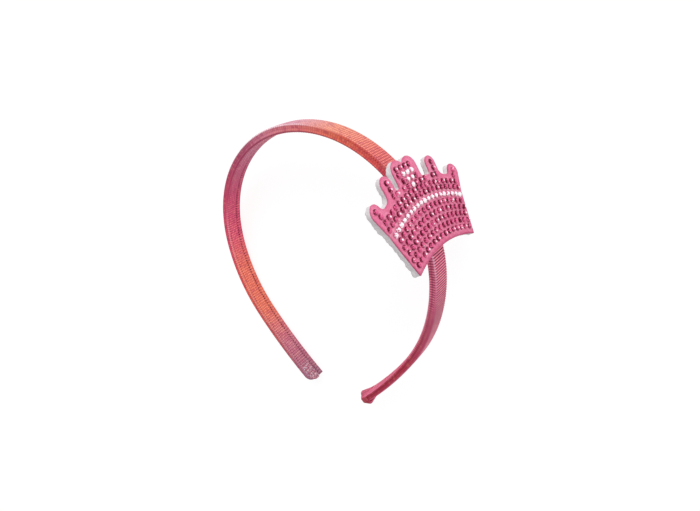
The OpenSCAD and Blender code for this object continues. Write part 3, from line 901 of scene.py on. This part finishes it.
# Stones
PINK_PITCH, CLEAR_PITCH = 0.0522 * CROWN_W, 0.0491 * CROWN_W
ROW_PITCH, HEART_PITCH = 0.1095 * CROWN_H, 0.094 * CROWN_H
CLEAR_Y, CLEAR_COUNT = CROWN_TOP - 0.336 * CROWN_H, 19
HEART_ROW_TOP = LOBE_Y + 0.27 * LOBE_R
ABOVE_ROWS = [
    # middle's height as a share of the crown's, radius as a share of the curves', number of stones
    (-0.235, 1.12, 19), (-0.142, 1.19, 19)]
BELOW_COUNTS = [17, 17, 16, 16, 15]
HEART_ROWS = [
    # first stone in pitches from the heart's middle, pink before, clear, pink after
    (-2, 4, 0, 0), (-2, 1, 3, 0), (-1.6, 1, 2, 1), (-2.1, 2, 1, 3)]
SPIKE_STONES = [
    # sideways as a share of half the width, up as a share of the height
    (1, -0.152), (0.95, -0.233), (0.564, 0.11), (0.553, 0.011), (0.55, -0.088), (0.455, -0.078)]
# Rings of a stone's corners, from the back to the table
STONE_RINGS = [
    # radius, height, turn in corners
    (1.18, 0.0, 0), (1.18, 0.0, 0.5), (1.2, 0.26, 0), (1.2, 0.26, 0.5), (0.88, 0.62, 0.5), (0.44, 0.95, 0)]
SIDES = 8


def arc_row(top, radius, count, pitch):
    """Places evenly spaced along an arc that bulges up: the angle is the distance from the middle over r."""
    a = (np.arange(count) - (count - 1) / 2) * pitch / radius
    return np.stack([radius * np.sin(a), top - radius * (1 - np.cos(a))], -1)


def heart_run(row, skip, count):
    """Places of a straight run in a row of the heart, counted in pitches from the row's first stone."""
    x = HEART_X + (HEART_ROWS[row][0] + skip + np.arange(count)) * PINK_PITCH
    return np.stack([x, np.full(count, HEART_ROW_TOP - row * HEART_PITCH)], -1)


def stone_places():
    """Places of the pink and of the clear stones: curved rows, the heart's rows and those in the spikes."""
    rows = [(CROWN_TOP + share * CROWN_H, curve * CURVE_R, count) for share, curve, count in ABOVE_ROWS]
    rows += [(CLEAR_Y - (i + 1) * ROW_PITCH, CURVE_R, count) for i, count in enumerate(BELOW_COUNTS)]
    spikes = np.array(SPIKE_STONES) * [CROWN_W / 2, CROWN_H] + [0, CROWN_TOP]
    pink = ([arc_row(*row, PINK_PITCH) for row in rows]
            + [heart_run(i, 0, before) for i, (_, before, _, _) in enumerate(HEART_ROWS)]
            + [heart_run(i, before + mid, after) for i, (_, before, mid, after) in enumerate(HEART_ROWS)]
            + [spikes, spikes * [-1, 1]])
    clear = ([arc_row(CLEAR_Y, CURVE_R, CLEAR_COUNT, CLEAR_PITCH)]
             + [heart_run(i, before, mid) for i, (_, before, mid, _) in enumerate(HEART_ROWS)])
    return np.concatenate(pink), np.concatenate(clear)


def stone_shape():
    """Corners and facets of one stone: each ring is eight points on a circle, and neighbouring rings are
    joined by facets, those round the girdle first. The last value is the number of the first inner facet."""
    radius, height, turn = np.array(STONE_RINGS).T[..., None]
    a = (np.arange(SIDES) + turn) * 2 * np.pi / SIDES
    rings = np.stack([radius * np.cos(a), radius * np.sin(a), height + 0 * a], -1).reshape(-1, 3)
    corners = np.concatenate([rings, [[0, 0, STONE_RINGS[-1][1]], [0, 0, 0]]])
    i = np.arange(SIDES)
    j = (i + 1) % SIDES
    back, back_mid, girdle, girdle_mid, belt, table = (i + k * SIDES for k in range(6))
    top, under = 0 * i + 6 * SIDES, 0 * i + 6 * SIDES + 1

    def tri(a, b, c):
        return np.stack([a, b, c, c], -1)

    outer = [np.stack([back, back_mid, girdle_mid, girdle], -1),
             np.stack([back_mid, back[j], girdle[j], girdle_mid], -1),
             tri(girdle, girdle_mid, belt), tri(girdle_mid, girdle[j], belt), tri(girdle, belt, belt[i - 1])]
    inner = [tri(belt, table[j], table), tri(belt, belt[j], table[j]), tri(table, table[j], top),
             tri(back[j], back_mid, under), tri(back_mid, back, under)]
    return corners, np.concatenate(outer + inner), len(outer) * SIDES


def set_stones(name, places, seed, stuff, rim_level, rim_swing, inner_level):
    """Cut stones, each turned and leaned a little on its own. A tone from 0 to 1 is kept on each facet:
    painted reflection, how much light it throws back. In the outer facets it is a level less a swing towards
    the side that faces up the crown, so that crescents of painted dark reflection stand there; further in it
    is a level of its own, and both are uneven from facet to facet. The flat table has one of four tones, the
    highest a painted glint."""
    rng = np.random.default_rng(seed)
    count = len(places)
    corners, facets, first_inner = stone_shape()
    spin = rng.uniform(0, 2 * np.pi, count)
    lean = rng.normal(0, 0.055, (count, 2))
    c, s = np.cos(spin)[:, None], np.sin(spin)[:, None]
    x = corners[:, 0] * c - corners[:, 1] * s
    y = corners[:, 0] * s + corners[:, 1] * c
    # A leaning stone is lifted so that its back stays clear of the felt
    z = corners[:, 2] + x * lean[:, :1] + y * lean[:, 1:] + 0.6 * np.abs(lean).sum(1, keepdims=True)
    points = np.stack([places[:, :1] + x, places[:, 1:] + y, STONE_BASE + z], -1).reshape(-1, 3)
    faces = facets[None] + (np.arange(count) * len(corners))[:, None, None]
    a, b, d = (points[faces[..., k]] for k in (0, 1, 2))
    normal = np.cross(b - a, d - a)
    normal /= np.linalg.norm(normal, axis=-1)[..., None]
    # Painted reflection: facets that face up the crown are darker, as dark crescents
    upward = normal[..., 0] * -0.62 + normal[..., 1] * 0.78
    inner = np.arange(len(facets)) >= first_inner
    tone = np.where(inner, inner_level - 0.12 * upward, rim_level - rim_swing * upward)
    tone += rng.normal(0, 0.2, faces.shape[:2])
    tone += rng.normal(0, 0.1, (count, 1))
    # Some tables take the highest tone, a painted glint
    flat_tone = rng.choice([0.42, 0.55, 0.75, 1.05], (count, 1), p=[0.2, 0.3, 0.15, 0.35])
    tone = np.where(normal[..., 2] > 0.97, flat_tone, tone)
    faces = faces.reshape(-1, 4)
    made = piece(name, lay(crown_point(*points.T)), faces, face_map(points, faces), stuff, smooth=False)
    keep(made, "tone", "FACE", np.clip(tone, 0, 1))
    return made


def stone_stuff(name, dark, body, pale):
    """Foil-backed stone: the facet's painted reflection tone picks between the painted dark reflection, the
    body colour and the painted pale glint.
    """
    made, bench, shader = material(name, Roughness=0.2, Specular_IOR_Level=0.12, IOR=1.5)
    fine = bench.patches(0.0022, 0.0007)[1]
    shaky = bench.plus(bench.kept("tone"), bench.times_plus(fine, 0.2, -0.1))
    stops = [(0.0, dark), (1.0, pale), (0.13, dark), (0.26, body), (0.84, body)]
    bench.feed(shader["Base Color"], bench.ramp(shaky, stops))
    return made


# Felt, foam, glue, floor
def felt_stuff():
    """Pink felt: matted fibres as fine noise, soft broad patches, and a paler strip under the clear row,
    picked by the distance from the row's own arc. It is darker where the kept shade says so."""
    made, bench, shader = material("pink_felt", Roughness=0.9, Sheen_Weight=0.12, Sheen_Roughness=0.5,
                                   Sheen_Tint=paint(255, 190, 215), Specular_IOR_Level=0.2)
    split = bench.split(bench.run())
    x = bench.times_plus(split[0], UV_MM, -UV_MM / 2)
    y = bench.times_plus(split[1], UV_MM, -UV_MM / 2 - (CLEAR_Y - CURVE_R))
    squares = bench.plus(bench.times(x, x), bench.times(y, y))
    from_row = bench.minus(bench.calc("SQRT", squares), CURVE_R)
    strip = bench.times(bench.between(from_row, -1.4, -1.0), bench.between(from_row, 1.9, 1.5))
    line = bench.times(bench.between(from_row, 1.55, 1.8), bench.between(from_row, 2.15, 1.9))
    broad, fine = bench.patches(0.006, 0.0006)
    fibres = bench.noise(bench.place(), 2600.0, 4.0, 0.7)
    colour = bench.blend(broad, paint(240, 130, 167), paint(247, 152, 184))
    colour = bench.blend(bench.between(fibres, 0.35, 0.65, 0.0, 0.55), colour, paint(176, 56, 100))
    colour = bench.blend(bench.times(strip, 0.14), colour, paint(238, 180, 198))
    colour = bench.blend(bench.times(line, 0.4), colour, paint(245, 214, 222))
    # Darker by the kept shade, whose line at the cut edge is painted shade
    bench.feed(shader["Base Color"], bench.blend(bench.kept("shade"), colour, paint(160, 44, 86)))
    bench.feed(shader["Normal"], bench.relief(bench.plus(fibres, bench.times(fine, 0.6)), 0.9, 0.00015))
    return made


def foam_stuff():
    """White foam: pale grey painted shade in the pores, which are small cells, with a faint warm cast in
    patches.
    """
    made, bench, shader = material("white_foam", Roughness=0.85, Specular_IOR_Level=0.25)
    pores = bench.add("ShaderNodeTexVoronoi", {"Vector": bench.place(), "Scale": 2300.0}).outputs["Distance"]
    broad, fine = bench.patches(0.004, 0.0007)
    colour = bench.blend(bench.times(broad, 0.6), paint(220, 215, 217), paint(203, 197, 200))
    # Painted shade in the pores
    colour = bench.blend(bench.between(pores, 0.3, 0.75, 0.0, 0.35), colour, paint(172, 164, 168))
    bench.feed(shader["Base Color"], colour)
    bench.feed(shader["Normal"], bench.relief(bench.times_plus(pores, -0.7, fine), 0.5, 0.00012))
    return made


def glue_stuff():
    """Set hot glue: milky, glossy, with slow ripples and finer patches of roughness."""
    made, bench, shader = material("milky_glue", IOR=1.48, Coat_Weight=0.4)
    broad, fine = bench.patches(0.005, 0.0012)
    bench.feed(shader["Base Color"], bench.blend(broad, paint(236, 230, 226), paint(222, 206, 204)))
    bench.feed(shader["Roughness"], bench.between(fine, 0.0, 1.0, 0.15, 0.35))
    bench.feed(shader["Normal"], bench.relief(broad, 0.3, 0.0003))
    return made


def floor_stuff():
    """Matt white paper: almost even, with a grain too fine to see from afar."""
    white = (1.0, 1.0, 1.0, 1.0)
    made, bench, shader = material("white_paper", Roughness=0.9, Specular_IOR_Level=0.1,
                                   Emission_Color=white, Emission_Strength=0.8)
    grain = bench.times(bench.patches(0.4, 0.002)[1], 0.3)
    bench.feed(shader["Base Color"], bench.blend(grain, (0.26, 0.26, 0.26, 1.0), (0.245, 0.245, 0.245, 1.0)))
    return made


# Put together
cover = make_band_cover(ribbon_stuff("ombre_ribbon", 0.00015, cover_faces))
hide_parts("band")
lining = make_lining(ribbon_stuff("lining_ribbon", 0.0001, lining_faces))
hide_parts("lining_ribbon")
fold = make_fold(ribbon_stuff("folded_ribbon", 0.00012, fold_faces, FOLD_DYE))
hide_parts("ribbon_fold")
foam = make_foam(foam_stuff())
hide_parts("crown_foam")
felt = make_felt(felt_stuff())
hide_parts("crown_felt")
PINK, CLEAR = stone_places()
pink_stuff = stone_stuff("pink_stone", paint(96, 6, 40), paint(214, 92, 136), paint(255, 238, 244))
pink = set_stones("pink_stone_field", PINK, 71, pink_stuff, rim_level=0.16, rim_swing=0.36,
                          inner_level=0.5)
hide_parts("pink_stones")
clear_stuff = stone_stuff("clear_stone", paint(186, 92, 126), paint(246, 234, 239), paint(255, 255, 255))
clear = set_stones("clear_stone_row", CLEAR, 72, clear_stuff, rim_level=0.2, rim_swing=0.3,
                           inner_level=0.6)
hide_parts("clear_stones")
glue = bpy.data.objects["glue_pad"]
glue.data.materials.clear()
glue.data.materials.append(glue_stuff())


def floor_disc():
    """A flat round floor at the lowest point of the object: rings of points out to a few metres, joined by
    quads, and a fan to the middle."""
    r = np.array([0.3, 1.0, 4.0])[:, None]
    rows, cols = len(r), 64
    a = np.linspace(0, 2 * np.pi, cols, endpoint=False)[None, :]
    rings = np.stack([r * np.cos(a), r * np.sin(a), 0 * r * a], -1).reshape(-1, 3)
    points = np.concatenate([rings, [[0, 0, 0]]]) + [0, 0, CAD_BOX[0].z]
    quads = ring_quads(rows, cols)[:, ::-1]
    j = np.arange(cols)
    fan = np.stack([j, (j + 1) % cols, 0 * j + rows * cols], -1)
    mesh = bpy.data.meshes.new("floor")
    mesh.from_pydata(points.tolist(), [], quads.tolist() + fan.tolist())
    mesh.materials.append(floor_stuff())
    made = bpy.data.objects.new("floor", mesh)
    bpy.context.scene.collection.objects.link(made)
    return made


floor_disc()

# Light and camera
scene = bpy.context.scene
scene.view_settings.view_transform = "Standard"
world = bpy.data.worlds.new("white_room")
world.use_nodes = True
backdrop = world.node_tree.nodes["Background"].inputs
backdrop["Color"].default_value = (1.0, 1.0, 1.0, 1.0)
backdrop["Strength"].default_value = 0.62
scene.world = world


def soft_light(name, towards, strength, spread):
    """A distant light as wide as a large softbox: where it stands, seen from the object, how strong it is and
    how wide in degrees."""
    lamp = bpy.data.lights.new(name, "SUN")
    lamp.energy, lamp.angle = strength, math.radians(spread)
    made = bpy.data.objects.new(name, lamp)
    made.rotation_euler = Vector(towards).to_track_quat("Z", "Y").to_euler()
    scene.collection.objects.link(made)


soft_light("key", (0.1, 1.0, 0.5), 1.9, 50)
soft_light("fill", (1.0, -0.3, 0.5), 0.5, 60)

# The camera's place and its directions down and ahead in the upright frame, turned down with the headband
EYE = (147.1, 37.91, 168.72)
DOWN, AHEAD = (0.1432, -0.9113, 0.386), (-0.6102, -0.3884, -0.6906)
camera = bpy.data.objects.new("camera", bpy.data.cameras.new("camera"))
camera.data.lens, camera.data.sensor_width = 25.62, 36.0
camera.data.shift_x, camera.data.shift_y = 0.048, -0.015
camera.data.clip_start, camera.data.clip_end = 0.01, 20.0
back = Vector(-(LYING @ AHEAD)).normalized()
right = Vector(-(LYING @ DOWN)).cross(back).normalized()
turned = Matrix((right, back.cross(right), back)).transposed().to_4x4()
camera.matrix_world = Matrix.Translation(Vector(lay(EYE))) @ turned
scene.collection.objects.link(camera)
scene.camera = camera
